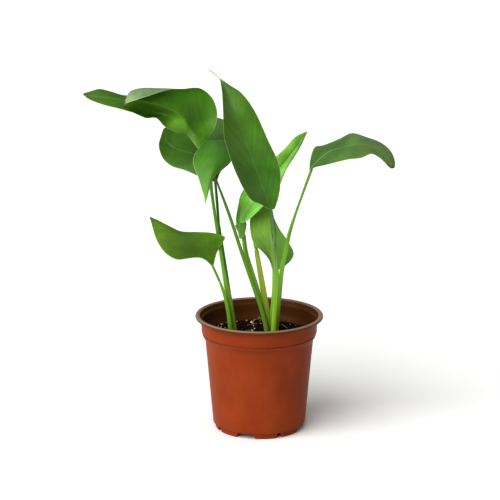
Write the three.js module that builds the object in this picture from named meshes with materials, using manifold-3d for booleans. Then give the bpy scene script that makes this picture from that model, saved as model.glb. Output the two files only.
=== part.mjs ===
// A young bird of paradise plant in a nursery pot: ten leaves in three fans, soil and pot.
// Millimetres, +Z up. The origin is on the pot's axis, on the surface that the pot stands on.
import * as THREE from "three";
import { mergeVertices } from "three/addons/utils/BufferGeometryUtils.js";
import Module from "manifold-3d";

// ---- Driving dimensions ----------------------------------------------------------------

const POT_HEIGHT = 139; // a six inch nursery pot, to the top of the lip
const LIP_RADIUS = 76;
const COLLAR_RADIUS = 68.5; // the straight band under the lip
const COLLAR_FOOT = 118; // height of the band's lower edge
const BODY_TOP_RADIUS = 64.2;
const BODY_TOP = 108; // height where the tapered wall ends and the chamfer starts
const BODY_BASE_RADIUS = 55.3;
const FOOT_RADIUS = 52.5;
const FOOT_HEIGHT = 6.5;
const SHEET = 1.6; // wall thickness of the formed pot
const POT_SIDES = 48;

const CHANNEL_RISE = 6.2; // drainage channels pressed up into the floor, between the feet
const CHANNEL_INNER = 20; // radius where a channel ends
const WIDE_CHANNEL = 15.5; // at its roof
const NARROW_CHANNEL = 2.6;
const WIDE_FLANK = 5.2; // how far each side of a channel slopes out down to the ground
const NARROW_FLANK = 2.8;
const FIRST_WIDE_ANGLE = -108.4; // degrees from +X, so that two feet face the front
const DRAIN_HOLE_RADIUS = 3.5;
const DRAIN_HOLE_AT = 38;

const SOIL_TOP = 113; // 26 mm below the lip
const SOIL_RADIUS = 63.6;
const SOIL_RINGS = 9; // rings of faces across its surface
const SOIL_EDGE = 6; // the clumps fade out over this width along the wall
const CLUMP_COUNT = 70; // low lumps and dips in the soil's surface
const CLUMP_RADII = [5, 11];
const CLUMP_RISES = [-1.6, 2.4];
const PERLITE_COUNT = 30;
const PERLITE_RADII = [1.3, 2.4];
const PERLITE_LIFT = 0.3; // the middle of a grain above the soil
const ROOT_COUNT = 5;
const ROOT_SPANS = [8, 14];
const ROOT_RADIUS = 0.6;
const ROOT_RISE = 2.2; // the middle of a root's arch above the soil
const ROOT_BEND = 0.11; // how fast the arch falls to both sides, per mm
const SOIL_SEED = 11;

const GAP = 0.3; // kept between pieces that touch on the real plant
const STALK_BURIED = 24; // how far a stalk goes down into its hole in the soil
const STALK_SIDES = 8;
const STALK_FLATNESS = 0.78; // a leaf stalk's depth over its width
const STALK_END_GAP = 0.8;
const BLADE_THICKNESS = 0.8;
const RIB_DEPTH = 2.4; // blade and midrib together, at the leaf's base
const RIB_HALF_WIDTH = 0.13; // of half the blade
const TIP_HALF_WIDTH = 0.7;
const BASE_HALF_WIDTH = 1.4;
const BLADE_STEP = 13; // along the blade, between two rows of faces
const ROUNDING = 0.2; // 0 folds a blade sharply at its midrib, 0.25 makes one smooth arch
const SLIGHT_ARCH = [0.6]; // shares of half a blade's width where its faces meet
const ROLLED_OVER = [0.3, 0.45, 0.6, 0.78]; // the same for a blade with a rolled edge

// ---- Leaves ----------------------------------------------------------------------------
// stalk: points [x, y, z, width] from the soil up.
// ribs: cross sections of the blade from base to tip, each a point on the midrib, then the
// steps from it to the left and right edge, seen from above the leaf with the tip ahead.
// Where an edge rolls over, two more steps go to the middles of the left and right half.
// A rib with a point alone is the narrow base or the tip. neck is the stalk's width where a
// rolled blade starts, if it is wider than usual.

const LEAVES = {
  tall: {
    stalk: [
      [17, -13, 118, 6.8],
      [19, -19, 158, 6.4],
      [20, -26, 194, 5.6],
      [18, -30, 225, 4.7],
      [17, -31, 250, 4.1],
    ],
    ribs: [
      [[14, -30, 273]],
      [[10, -33, 282], [-8, -5, -1], [8.5, -7, -3]],
      [[5, -40, 298], [-17, -10, -6], [18.5, -10, 5]],
      [[-5, -52, 328], [-22, -14, -3.5], [27.2, -14, 5]],
      [[-16, -62, 360], [-23.5, -15, 5], [25.5, -15, 4]],
      [[-27, -66, 391], [-14, -11, 4], [22.3, -13, 5]],
      [[-34, -65, 411], [-8, -5, 2], [14.8, -9, 5]],
      [[-40, -62, 425], [-3.5, -2, -1], [4.5, -4, 1]],
      [[-45, -59, 431]],
      [[-51, -56, 436]],
      [[-57, -53, 440]],
    ],
  },
  right: {
    stalk: [
      [20, -5, 118, 6.2],
      [23, -8, 158, 5.9],
      [26, -12, 193, 5.4],
      [31, -14, 220, 5.1],
      [36, -15, 245, 4.6],
      [48, -15, 282, 3.6],
    ],
    neck: 4,
    ribs: [
      [[58, -16, 317]],
      [[61, -18, 322], [-2, 9, 6], [3, -10, 1]],
      [[69, -21, 331], [-5, 19, 10], [6, -19, -3]],
      [[80, -26, 341], [-5, 28, 2], [8, -22, -8]],
      [[95, -32, 347], [-3, 34, 3], [6, -25, -9]],
      [[110, -39, 352], [-3, 36, 6], [5, -24, -11]],
      [[125, -46, 352], [-2, 31, 4], [1, -19, -6]],
      [[137, -53, 348], [2, 25, 4], [-2, -13, -6]],
      [[144.6, -58, 341], [5, 16, 4], [-3, -8, -5]],
      [[149, -61, 334], [5, 9, 1], [-4, -5, -2]],
      [[151, -63, 329], [2, 1, 1], [-2, -1, 0]],
    ],
  },
  mid: {
    stalk: [
      [15, 1, 117, 5.7],
      [15.6, -1, 144, 5.2],
      [17.4, -3, 169, 4.9],
    ],
    ribs: [
      [[17, -4, 192]],
      [[17, -2, 200], [12, -5, -1], [-5, -1, 5]],
      [[16, 2, 211], [22, -7, -4], [-12, -3, 4]],
      [[16, 7, 223], [24.2, -7, -7.5], [-22, -4, 1]],
      [[14, 13, 235], [18, -5, -6], [-24, -3, -1]],
      [[13, 20, 247], [11, -4, -8], [-24, -1, 0]],
      [[11, 27, 260], [6, -3, -8], [-20, 1, -2]],
      [[9, 33, 270], [4, -2, -5], [-12, 1, 0]],
      [[7, 38, 280]],
    ],
  },
  hidden: {
    stalk: [
      [11.2, 9, 116, 7.2],
      [9.2, 10, 139, 7.2],
      [4.3, 12, 168, 7],
      [-1.8, 18, 203, 5.6],
      [-6, 27, 228, 4.5],
    ],
    ribs: [
      [[-9, 38, 247]],
      [[-8, 42, 259], [-7, 1, 1], [8, 2, 1]],
      [[-7, 49, 275], [-11, 4, 3], [13, 5, 3]],
      [[-8, 60, 295], [-15, 4, 3], [19, 6, 2]],
      [[-10, 73, 314], [-18, 4, 3], [21, 6, 3]],
      [[-12, 86, 331], [-16, 2, 4], [16, 4, 3]],
      [[-14, 97, 345], [-8, 1, 3], [8, 2, 3]],
      [[-16, 107, 358]],
    ],
  },
  rolled: {
    stalk: [
      [9.5, -1, 118, 6.2],
      [5.5, 0, 137, 6.2],
      [-1.8, 1, 166, 6],
      [-10.6, 4, 194, 6],
      [-16, 6.5, 213, 6.1],
    ],
    neck: 6.2,
    ribs: [
      [[-20, 11, 230], [-4, -2, 0], [-3, -6, 0], [-3, 0, 0], [2, -4, 0]],
      [[-20, 14, 237], [-5, -5, 2], [-5, -11, 1], [-4, 0, 1], [3, -8, 2]],
      [[-20, 16, 246], [-7, -7, 1], [-8, -17, 2], [-5, 0, 1], [4, -11, 1]],
      [[-19, 19, 253], [-8, -8, 2], [3, -21, -1], [-6, 0, 2], [3, -11, 2]],
      [[-14, 22, 260], [-11, -10, 8], [8, -23, 0], [-7, -1, 5], [4, -12, 2]],
      [[-4, 26, 271], [-17, -11, 12], [9, -22, -1], [-9, -1, 7], [4, -12, 3]],
      [[13, 33, 293], [-19.5, -11, 8], [8, -15, -8], [-10, -5, 3], [4, -9, -2]],
      [[27, 41, 311], [-16, -6, 4], [5, -7, -4.5], [-8, -5, 3], [3.4, -5, -1.2]],
      [[39, 49, 325], [-10, -4, 4.2], [2.6, -4, -5.4], [-5, -3.5, 2.6], [2, -3.6, -1.9]],
      [[49, 57, 337], [-6.3, -2, 5.2], [0.8, -2, -5.6], [-3, -2, 2.6], [0.9, -1.8, -2.4]],
      [[57, 64, 347]],
    ],
  },
  top_left: {
    stalk: [
      [9, -8, 118, 6.2],
      [3.6, -8, 144, 5.6],
      [-7.2, -9, 177, 4.9],
      [-20.8, -9, 217, 4.2],
      [-31.8, -7, 251, 3.7],
      [-39.6, -3, 273, 3.4],
      [-52.5, 6, 305, 3.2],
      [-64, 13, 331, 2.9],
    ],
    ribs: [
      [[-77, 19, 361]],
      [[-84, 22, 368], [-1, -7, -5], [3, 8, 7]],
      [[-100, 28, 377], [-5, -10, -6.8], [4, 14, 9]],
      [[-121, 33, 383], [-5, -12, -9], [4, 17, 9]],
      [[-143, 37, 387], [-4, -12, -10], [3, 17, 5]],
      [[-163, 40, 390], [-3, -11, -8.7], [2, 14, 3]],
      [[-179, 42, 392], [-2, -9, -7.7], [1, 12, 6]],
      [[-192, 43, 393], [-2, -6, -5], [3, 7, 8]],
      [[-201, 44, 394], [-1, -3, -3], [2, 3, 5]],
      [[-207.6, 44, 396]],
    ],
  },
  arching: {
    stalk: [
      [-33.6, -1, 118, 6.8],
      [-37, -1, 154, 5.8],
      [-42.8, -1, 196, 4.2],
      [-48, 0, 230, 3.8],
      [-52.6, 1, 262, 3.7],
      [-57.6, 3, 293, 3.4],
      [-65, 4, 318, 3],
    ],
    ribs: [
      [[-70, 4, 338]],
      [[-72, 1, 347], [-5, 4, -2], [10, 2, 2]],
      [[-75, -3, 356], [-10, 9, -1], [23, 6, 7], [-5, 4, -0.5], [10.5, 5, 3]],
      [[-82, -8, 367], [-15, 2, -7], [33, 14, 13], [-7.5, 0, -3], [13, 13, 5]],
      [[-87, -14, 377], [-22, -2, -9], [32, 20, 21], [-11, 4, -5], [12, 15, 9]],
      [[-99, -20, 387], [-20, 10, -10], [30, 21, 23], [-9, 18, -7], [16, 15, 13]],
      [[-113, -26, 394], [-17, 11, -16], [26, 16, 17], [-8, 25, -10], [14, 14, 12]],
      [[-126, -31, 399], [-12, 6, -16], [21, 4, 13.5], [-5, 23, -10], [12, 13, 12]],
      [[-136, -35, 402], [-10, 4, -14], [11.5, -7, 6.7], [-4, 17, -9], [4, 7, 12.8]],
      [[-145, -39, 401], [-7, 3, -10], [6, -10, 4], [-3, 7, -6], [-1, 2, 12]],
      [[-151, -42, 398], [-3, 2, -5.5], [2, -6, 3.5], [-1, 2, -2.5], [-0.5, -1, 7]],
      [[-154, -44, 396]],
    ],
  },
  front: {
    stalk: [
      [-30, -6, 120, 7.2],
      [-34.4, -6, 155, 6.2],
      [-42.4, -6, 197, 4.3],
      [-47.2, -5, 231, 3.7],
      [-52.4, -3, 263, 3.5],
      [-56.4, 1, 298, 3.2],
      [-55, 5, 327, 2.7],
    ],
    ribs: [
      [[-53, 3, 345]],
      [[-52, -5, 350], [10, 7, -1], [-10, 6, -2]],
      [[-51, -18, 345], [16, 9, -4], [-19, 9, -3]],
      [[-51, -32, 337], [19, 10, -5], [-25, 10, -3]],
      [[-52, -44, 328], [11, 7, -3], [-24, 9, -1]],
      [[-56, -54, 317], [4, 3, -1], [-14, 5, -2]],
      [[-59, -62, 306], [2, 1, -1], [-7, 2, -2]],
      [[-61, -67, 297], [2, 0, 0], [-2, 1, -1]],
      [[-62, -70, 290]],
    ],
  },
  back_left: {
    stalk: [
      [-30.4, 4, 117, 6.6],
      [-33.2, 4, 140, 6],
      [-37.6, 4, 174, 5],
      [-43.4, 5, 216, 3.9],
      [-47.6, 6, 246, 3.3],
      [-50, 9, 276, 3.3],
    ],
    ribs: [
      [[-51, 10, 298]],
      [[-55, 17, 307], [-8, -4, -8], [10, 3, 1]],
      [[-63, 29, 316], [-12, -7, -13], [30, 9, 1]],
      [[-74, 41, 323], [-15.5, -9, -16], [48, 15, 15]],
      [[-87, 51, 325], [-17, -9, -15.5], [49, 17, 33.5]],
      [[-98, 58, 327], [-17, -7, -9.5], [33, 18, 37]],
      [[-107, 63, 331], [-13, -4, 0], [15, 15, 32]],
      [[-112, 66, 341], [-5, -1, 2], [4, 7, 13]],
      [[-114, 70, 350]],
    ],
  },
  low_left: {
    stalk: [
      [-34, -12, 121, 5.8],
      [-36.4, -12, 143, 5],
      [-40.8, -11, 164, 3.8],
      [-45, -10, 177, 3.1],
      [-49.4, -8, 187, 2.9],
    ],
    ribs: [
      [[-55, -6, 200]],
      [[-59, -10, 210], [-4, -2, -2], [9, 2, 6]],
      [[-64, -14, 219], [-7, -5, -6], [21, 4, 10]],
      [[-70, -19, 228], [-12, -7, -14], [29, 8, 8.5]],
      [[-79, -25, 236], [-15.6, -8, -21.8], [23, 14, 5]],
      [[-90, -31, 241], [-14.8, -8, -20.8], [16, 16, 2]],
      [[-102, -37, 248], [-10.8, -6, -18.6], [11, 13, -2]],
      [[-112, -43, 257], [-7.7, -3, -13.5], [9, 9, -3]],
      [[-120, -47, 264], [-3, -1, -8], [6, 5, -2]],
      [[-125.6, -50, 269]],
    ],
  },
};

// Stalks of one fan clasp each other: each is cut back to leave the earlier ones whole.
const FANS = [
  ["tall", "right", "mid"],
  ["rolled", "top_left", "hidden"],
  ["front", "low_left", "arching", "back_left"],
];

// ---- Small tools -----------------------------------------------------------------------

const manifold = await Module();
manifold.setup();
const { Manifold, Mesh: ManifoldMesh } = manifold;

// A generator of numbers from 0 to 1 that gives the same run every time.
function seeded(seed) {
  let state = seed;
  return () => {
    state = (state * 1664525 + 1013904223) % 4294967296;
    return state / 4294967296;
  };
}

const vector = ([x, y, z]) => new THREE.Vector3(x, y, z);
const lerp = THREE.MathUtils.lerp;

function solidOf(geometry) {
  const bare = geometry.clone();
  bare.deleteAttribute("normal");
  bare.deleteAttribute("uv");
  const merged = mergeVertices(bare, 1e-4);
  const vertProperties = new Float32Array(merged.attributes.position.array);
  const triVerts = new Uint32Array(merged.index.array);
  return new Manifold(new ManifoldMesh({ numProp: 3, vertProperties, triVerts }));
}

function geometryOf(solid) {
  const { numProp, vertProperties, triVerts } = solid.getMesh();
  const positions = new Float32Array((vertProperties.length / numProp) * 3);
  for (let i = 0; i < positions.length / 3; i++) {
    for (let k = 0; k < 3; k++) positions[3 * i + k] = vertProperties[numProp * i + k];
  }
  const geometry = new THREE.BufferGeometry();
  geometry.setAttribute("position", new THREE.BufferAttribute(positions, 3));
  geometry.setIndex(new THREE.BufferAttribute(new Uint32Array(triVerts), 1));
  return geometry;
}

// A closed skin over rings of points that all run the same way round. Half of each ring is
// one face of a sheet and half the other, and the two faces are split into like triangles.
function loft(rings) {
  const size = rings[0].length;
  const positions = rings.flat().flatMap((p) => [p.x, p.y, p.z]);
  const index = [];
  for (let k = 0; k + 1 < rings.length; k++) {
    for (let j = 0; j < size; j++) {
      const a = k * size + j;
      const b = k * size + ((j + 1) % size);
      const c = a + size;
      const d = b + size;
      if (j < size / 2) index.push(a, b, d, a, d, c);
      else index.push(a, b, c, b, d, c);
    }
  }
  const last = (rings.length - 1) * size;
  for (let j = 0; j + 1 < size / 2; j++) {
    const [a, b, c, d] = [j, j + 1, size - 2 - j, size - 1 - j];
    index.push(a, c, b, a, d, c);
    index.push(last + a, last + b, last + c, last + a, last + c, last + d);
  }
  const geometry = new THREE.BufferGeometry();
  geometry.setAttribute("position", new THREE.Float32BufferAttribute(positions, 3));
  geometry.setIndex(index);
  return geometry;
}

// ---- Leaf blades -----------------------------------------------------------------------

// The rib's points: midrib, left edge, right edge, left middle, right middle, and the face
// direction, which stands on the upper side.
function ribPoints(ribs, i) {
  const [mid, left, right, leftMiddle, rightMiddle] = ribs[i];
  const centre = vector(mid);
  const before = vector(ribs[Math.max(i - 1, 0)][0]);
  const after = vector(ribs[Math.min(i + 1, ribs.length - 1)][0]);
  const along = after.clone().sub(before);
  let toLeft, toRight;
  if (left) {
    toLeft = vector(left);
    toRight = vector(right);
  } else {
    let nearest = i === 0 ? 1 : i;
    while (!ribs[nearest][1]) nearest--;
    const [from, to] = ribs[nearest].slice(-2).map(vector);
    const across = to.sub(from);
    across.projectOnPlane(along.clone().normalize());
    toRight = across.setLength(i === 0 ? BASE_HALF_WIDTH : TIP_HALF_WIDTH);
    toLeft = toRight.clone().negate();
  }
  const face = toRight.clone().sub(toLeft).cross(along).normalize();
  const bend = toLeft.clone().add(toRight).dot(face) / 2;
  const middle = (step, given) =>
    given
      ? centre.clone().add(vector(given))
      : centre.clone().addScaledVector(step, 0.5).addScaledVector(face, -ROUNDING * bend);
  return {
    centre,
    left: centre.clone().add(toLeft),
    right: centre.clone().add(toRight),
    leftMiddle: middle(toLeft, leftMiddle),
    rightMiddle: middle(toRight, rightMiddle),
    face,
  };
}

// The blade's upper face as a function of u, from base to tip, and s, from -1 on the left
// edge through 0 on the midrib to 1 on the right edge.
function bladeSurface(ribs) {
  const sections = ribs.map((_, i) => ribPoints(ribs, i));
  const rail = (key) =>
    new THREE.CatmullRomCurve3(sections.map((section) => section[key]), false, "catmullrom", 0.5);
  const centre = rail("centre");
  const halves = [
    [rail("leftMiddle"), rail("left")],
    [rail("rightMiddle"), rail("right")],
  ];
  return (u, s) => {
    const [middle, edge] = halves[s < 0 ? 0 : 1];
    const t = Math.abs(s);
    return centre
      .getPoint(u)
      .multiplyScalar((1 - t) * (1 - 2 * t))
      .addScaledVector(middle.getPoint(u), 4 * t * (1 - t))
      .addScaledVector(edge.getPoint(u), t * (2 * t - 1));
  };
}

// Where along the blade its rows of faces stand: at each rib, and between ribs far apart.
function bladeRows(ribs) {
  const rows = [0];
  for (let i = 0; i + 1 < ribs.length; i++) {
    const length = vector(ribs[i][0]).distanceTo(vector(ribs[i + 1][0]));
    const steps = Math.max(1, Math.round(length / BLADE_STEP));
    for (let k = 1; k <= steps; k++) rows.push((i + k / steps) / (ribs.length - 1));
  }
  return rows;
}

function bladeGeometry(ribs) {
  const surface = bladeSurface(ribs);
  const rolled = ribs.some((rib) => rib.length > 3);
  const half = [RIB_HALF_WIDTH, ...(rolled ? ROLLED_OVER : SLIGHT_ARCH), 1];
  const across = [...half.map((s) => -s).reverse(), 0, ...half];
  const nudge = 0.004;
  const faceAt = (u, s) => {
    const side = u === 1 ? 0 : Math.min(Math.abs(s), 1 - nudge) * (s < 0 ? -1 : 1);
    const low = Math.max(u - nudge, 0);
    const high = Math.min(u + nudge, 1);
    const along = surface(high, side).sub(surface(low, side));
    const over = surface(u, side + nudge).sub(surface(u, side - nudge));
    return over.cross(along).normalize();
  };
  const rings = bladeRows(ribs).map((u) => {
    const upper = across.map((s) => surface(u, s));
    const lower = across.map((s, j) => {
      const depth = s === 0 ? lerp(RIB_DEPTH, BLADE_THICKNESS, u) : BLADE_THICKNESS;
      return upper[j].clone().addScaledVector(faceAt(u, s), -depth);
    });
    return [...upper, ...lower.reverse()];
  });
  return loft(rings);
}

// ---- Leaf stalks -----------------------------------------------------------------------

// A grooved rod along the stalk's points, from its foot in the soil to the blade's base.
// swell widens it, for the hole that it stands in and for what clasps it.
function stalkGeometry({ stalk, ribs, neck = 2 * BASE_HALF_WIDTH }, swell = 0) {
  const base = ribPoints(ribs, 0);
  const onward = vector(ribs[1][0]).sub(base.centre).normalize();
  const top = base.centre
    .clone()
    .addScaledVector(onward, -STALK_END_GAP)
    .addScaledVector(base.face, -RIB_DEPTH / 2);
  const points = stalk.map(vector);
  points.unshift(points[0].clone().add(new THREE.Vector3(0, 0, -STALK_BURIED)));
  points.push(top);
  const widths = stalk.map(([, , , width]) => width);
  widths.unshift(widths[0] * 0.9);
  widths.push(neck);
  const path = new THREE.CatmullRomCurve3(points, false, "catmullrom", 0.5);
  const steps = 2 * (points.length - 1);
  const front = new THREE.Vector3(0, -1, 0);
  const rings = [];
  for (let k = 0; k <= steps; k++) {
    const u = k / steps;
    const along = path.getTangent(u);
    const side = front.clone().cross(along).normalize();
    const outward = along.clone().cross(side).normalize();
    const at = u * (points.length - 1);
    const i = Math.min(Math.floor(at), points.length - 2);
    const width = lerp(widths[i], widths[i + 1], at - i) + 2 * swell;
    const depth = (width - 2 * swell) * STALK_FLATNESS + 2 * swell;
    const centre = path.getPoint(u);
    if (k === 0) centre.addScaledVector(along, -swell);
    const ring = [];
    for (let j = 0; j < STALK_SIDES; j++) {
      const angle = (2 * Math.PI * (j + 0.5)) / STALK_SIDES;
      ring.push(
        centre
          .clone()
          .addScaledVector(side, (Math.cos(angle) * width) / 2)
          .addScaledVector(outward, (Math.sin(angle) * depth) / 2),
      );
    }
    rings.push(ring);
  }
  return loft(rings);
}

function stalkSolids() {
  const solids = {};
  for (const fan of FANS) {
    fan.forEach((name, i) => {
      let solid = solidOf(stalkGeometry(LEAVES[name]));
      for (const earlier of fan.slice(0, i)) {
        solid = solid.subtract(solidOf(stalkGeometry(LEAVES[earlier], GAP)));
      }
      solids[name] = solid;
    });
  }
  return solids;
}

// ---- Pot -------------------------------------------------------------------------------

// A solid turned about the pot's axis from [radius, height] points.
function turned(points, sides = POT_SIDES) {
  const profile = points.map(([radius, height]) => new THREE.Vector2(radius, height));
  return new THREE.LatheGeometry(profile, sides).rotateX(Math.PI / 2);
}

// Trapezoid bars under the floor, wide and narrow by turns, which leave the feet between.
function channels(grow) {
  const bars = [];
  for (let k = 0; k < 8; k++) {
    const wide = k % 2 === 0;
    const half = (wide ? WIDE_CHANNEL : NARROW_CHANNEL) / 2 + grow;
    const flank = wide ? WIDE_FLANK : NARROW_FLANK;
    const halfAt = (height) => half + flank * (1 - height / CHANNEL_RISE);
    const [low, high] = [-1, CHANNEL_RISE + grow];
    const shape = new THREE.Shape();
    shape.moveTo(-halfAt(low), low);
    shape.lineTo(halfAt(low), low);
    shape.lineTo(halfAt(high), high);
    shape.lineTo(-halfAt(high), high);
    const start = CHANNEL_INNER - grow;
    const bar = new THREE.ExtrudeGeometry(shape, {
      depth: FOOT_RADIUS + 6 - start,
      bevelEnabled: false,
    });
    bar.rotateX(Math.PI / 2).rotateZ(Math.PI / 2);
    bar.translate(start, 0, 0).rotateZ(THREE.MathUtils.degToRad(FIRST_WIDE_ANGLE + 45 * k));
    bars.push(solidOf(bar));
  }
  return bars.reduce((joined, bar) => joined.add(bar));
}

function potSolid() {
  const mouth = LIP_RADIUS - 5.9; // inside the lip
  const outside = solidOf(
    turned([
      [0, 0],
      [FOOT_RADIUS - 0.8, 0],
      [FOOT_RADIUS, 0.8],
      [FOOT_RADIUS + 0.3, FOOT_HEIGHT - 0.5],
      [BODY_BASE_RADIUS, FOOT_HEIGHT + 0.5],
      [BODY_TOP_RADIUS, BODY_TOP],
      [BODY_TOP_RADIUS + 0.7, BODY_TOP + 1.8],
      [COLLAR_RADIUS - 1.3, COLLAR_FOOT - 4.2],
      [COLLAR_RADIUS - 0.8, COLLAR_FOOT - 1.4],
      [COLLAR_RADIUS, COLLAR_FOOT],
      [COLLAR_RADIUS + 0.6, POT_HEIGHT - 6.6],
      [COLLAR_RADIUS + 2.4, POT_HEIGHT - 4.6],
      [LIP_RADIUS - 1.7, POT_HEIGHT - 4],
      [LIP_RADIUS - 0.4, POT_HEIGHT - 3.2],
      [LIP_RADIUS, POT_HEIGHT - 2],
      [LIP_RADIUS - 0.6, POT_HEIGHT - 0.6],
      [LIP_RADIUS - 2.1, POT_HEIGHT],
      [LIP_RADIUS - 4.4, POT_HEIGHT - 0.3],
      [mouth, POT_HEIGHT - 1.9],
      [0, POT_HEIGHT - 1.9],
    ]),
  );
  const inside = solidOf(
    turned([
      [0, SHEET],
      [FOOT_RADIUS - SHEET, SHEET],
      [FOOT_RADIUS + 0.3 - SHEET, FOOT_HEIGHT],
      [BODY_BASE_RADIUS - SHEET, FOOT_HEIGHT + 1.5],
      [BODY_TOP_RADIUS - SHEET, BODY_TOP + 1.6],
      [COLLAR_RADIUS - 1.2 - SHEET, COLLAR_FOOT - 0.4],
      [COLLAR_RADIUS + 0.4 - SHEET, POT_HEIGHT - 6.4],
      [mouth - 0.4, POT_HEIGHT - 5.4],
      [mouth, POT_HEIGHT - 1.9],
      [mouth, POT_HEIGHT + 2],
      [0, POT_HEIGHT + 2],
    ]),
  );
  let pot = outside.subtract(channels(0)).subtract(inside.subtract(channels(SHEET)));
  for (let k = 0; k < 4; k++) {
    const angle = THREE.MathUtils.degToRad(FIRST_WIDE_ANGLE + 90 * k);
    const drill = new THREE.CylinderGeometry(DRAIN_HOLE_RADIUS, DRAIN_HOLE_RADIUS, 12, 12)
      .rotateX(Math.PI / 2)
      .translate(Math.cos(angle) * DRAIN_HOLE_AT, Math.sin(angle) * DRAIN_HOLE_AT, CHANNEL_RISE);
    pot = pot.subtract(solidOf(drill));
  }
  return pot;
}

// ---- Soil ------------------------------------------------------------------------------

function soilHeight(clumps, x, y) {
  let height = 0;
  for (const clump of clumps) {
    const distance = Math.hypot(x - clump.x, y - clump.y) / clump.radius;
    height += clump.rise * Math.exp(-distance * distance);
  }
  return height * Math.min(1, (SOIL_RADIUS - Math.hypot(x, y)) / SOIL_EDGE);
}

// Random spots on the soil's surface, each at least `margin` from the pot's wall.
function soilSpot(random, margin) {
  const radius = (SOIL_RADIUS - margin) * Math.sqrt(random());
  const angle = 2 * Math.PI * random();
  return { x: radius * Math.cos(angle), y: radius * Math.sin(angle) };
}

function soilSolid(stalks) {
  const random = seeded(SOIL_SEED);
  const between = ([low, high]) => lerp(low, high, random());
  const clumps = Array.from({ length: CLUMP_COUNT }, () => ({
    ...soilSpot(random, 4),
    radius: between(CLUMP_RADII),
    rise: between(CLUMP_RISES),
  }));
  const base = CHANNEL_RISE + SHEET + GAP;
  const profile = [
    [0, base],
    [FOOT_RADIUS - SHEET - GAP, base],
    [BODY_BASE_RADIUS - SHEET - GAP, base + 1.1],
    [BODY_TOP_RADIUS - SHEET - GAP, BODY_TOP + 1.6],
  ];
  for (let k = SOIL_RINGS; k >= 0; k--) profile.push([(SOIL_RADIUS * k) / SOIL_RINGS, SOIL_TOP]);
  const ground = turned(profile);
  const position = ground.attributes.position;
  for (let i = 0; i < position.count; i++) {
    const [x, y, z] = [position.getX(i), position.getY(i), position.getZ(i)];
    if (z > SOIL_TOP - 1) position.setZ(i, z + soilHeight(clumps, x, y));
  }
  let soil = solidOf(ground);
  const surface = (x, y) => SOIL_TOP + soilHeight(clumps, x, y);
  for (let i = 0; i < PERLITE_COUNT; i++) {
    const { x, y } = soilSpot(random, 5);
    const grain = new THREE.IcosahedronGeometry(between(PERLITE_RADII), 0)
      .rotateX(6 * random())
      .rotateY(6 * random())
      .translate(x, y, surface(x, y) + PERLITE_LIFT);
    soil = soil.add(solidOf(grain));
  }
  for (let i = 0; i < ROOT_COUNT; i++) {
    const { x, y } = soilSpot(random, 14);
    const turn = 2 * Math.PI * random();
    const span = between(ROOT_SPANS);
    const root = [];
    for (let k = 0; k <= 4; k++) {
      const along = (k / 4 - 0.5) * span;
      const px = x + along * Math.cos(turn);
      const py = y + along * Math.sin(turn);
      const arch = ROOT_RISE - ROOT_BEND * along * along;
      root.push(new THREE.Vector3(px, py, surface(px, py) + arch));
    }
    soil = soil.add(solidOf(rod(root, ROOT_RADIUS)));
  }
  for (const name of Object.keys(stalks)) {
    soil = soil.subtract(solidOf(stalkGeometry(LEAVES[name], GAP + 0.2)));
  }
  const bodies = soil.decompose().sort((a, b) => b.volume() - a.volume());
  return bodies[0];
}

// A thin round rod with six sides along a line of points.
function rod(points, radius) {
  const path = new THREE.CatmullRomCurve3(points);
  const rings = points.map((_, k) => {
    const u = k / (points.length - 1);
    const along = path.getTangent(u);
    const side = new THREE.Vector3(0, 0, 1).cross(along).normalize();
    const outward = along.clone().cross(side).normalize();
    return Array.from({ length: 6 }, (_, j) => {
      const angle = (2 * Math.PI * (j + 0.5)) / 6;
      return path
        .getPoint(u)
        .addScaledVector(side, Math.cos(angle) * radius)
        .addScaledVector(outward, Math.sin(angle) * radius);
    });
  });
  return loft(rings);
}

// ---- The plant -------------------------------------------------------------------------

const terracotta = new THREE.MeshStandardMaterial({ color: 0x9a4322, roughness: 0.45 });
const earth = new THREE.MeshStandardMaterial({ color: 0x2a1c14, roughness: 0.95 });
const stalkGreen = new THREE.MeshStandardMaterial({ color: 0x6e9a38, roughness: 0.45 });
const bladeGreen = new THREE.MeshStandardMaterial({ color: 0x3f7a24, roughness: 0.4 });

function piece(name, geometry, material) {
  const mesh = new THREE.Mesh(geometry, material);
  mesh.name = name;
  return mesh;
}

const plant = new THREE.Group();
const stalks = stalkSolids();
plant.add(piece("pot", geometryOf(potSolid()), terracotta));
plant.add(piece("soil", geometryOf(soilSolid(stalks)), earth));
for (const [name, leaf] of Object.entries(LEAVES)) {
  plant.add(piece(`leaf_${name}_stalk`, geometryOf(stalks[name]), stalkGreen));
  plant.add(piece(`leaf_${name}_blade`, bladeGeometry(leaf.ribs), bladeGreen));
}

export default plant;
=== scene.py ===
"""A young bird of paradise plant in a six inch nursery pot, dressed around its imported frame.

The plant and its pot are measured in millimetres, as a grower would, and become metres through
MM. The camera and the floor are in metres.
"""

import math
import random

import bmesh
import bpy
from mathutils import Matrix, Vector, noise


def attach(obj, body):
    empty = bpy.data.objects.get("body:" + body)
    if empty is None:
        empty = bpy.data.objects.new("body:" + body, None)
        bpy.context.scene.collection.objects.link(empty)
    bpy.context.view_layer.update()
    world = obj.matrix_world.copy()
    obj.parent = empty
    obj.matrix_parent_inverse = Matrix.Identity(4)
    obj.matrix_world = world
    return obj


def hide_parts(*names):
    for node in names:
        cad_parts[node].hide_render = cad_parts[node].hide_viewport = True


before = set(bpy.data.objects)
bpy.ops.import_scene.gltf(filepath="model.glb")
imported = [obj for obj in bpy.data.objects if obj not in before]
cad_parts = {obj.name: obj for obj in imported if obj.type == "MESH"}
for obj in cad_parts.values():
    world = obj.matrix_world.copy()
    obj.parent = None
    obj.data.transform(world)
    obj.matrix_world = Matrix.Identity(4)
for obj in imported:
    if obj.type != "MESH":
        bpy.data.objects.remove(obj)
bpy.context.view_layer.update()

MM = 0.001

# ---- Camera, floor and light ------------------------------------------------------------

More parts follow.
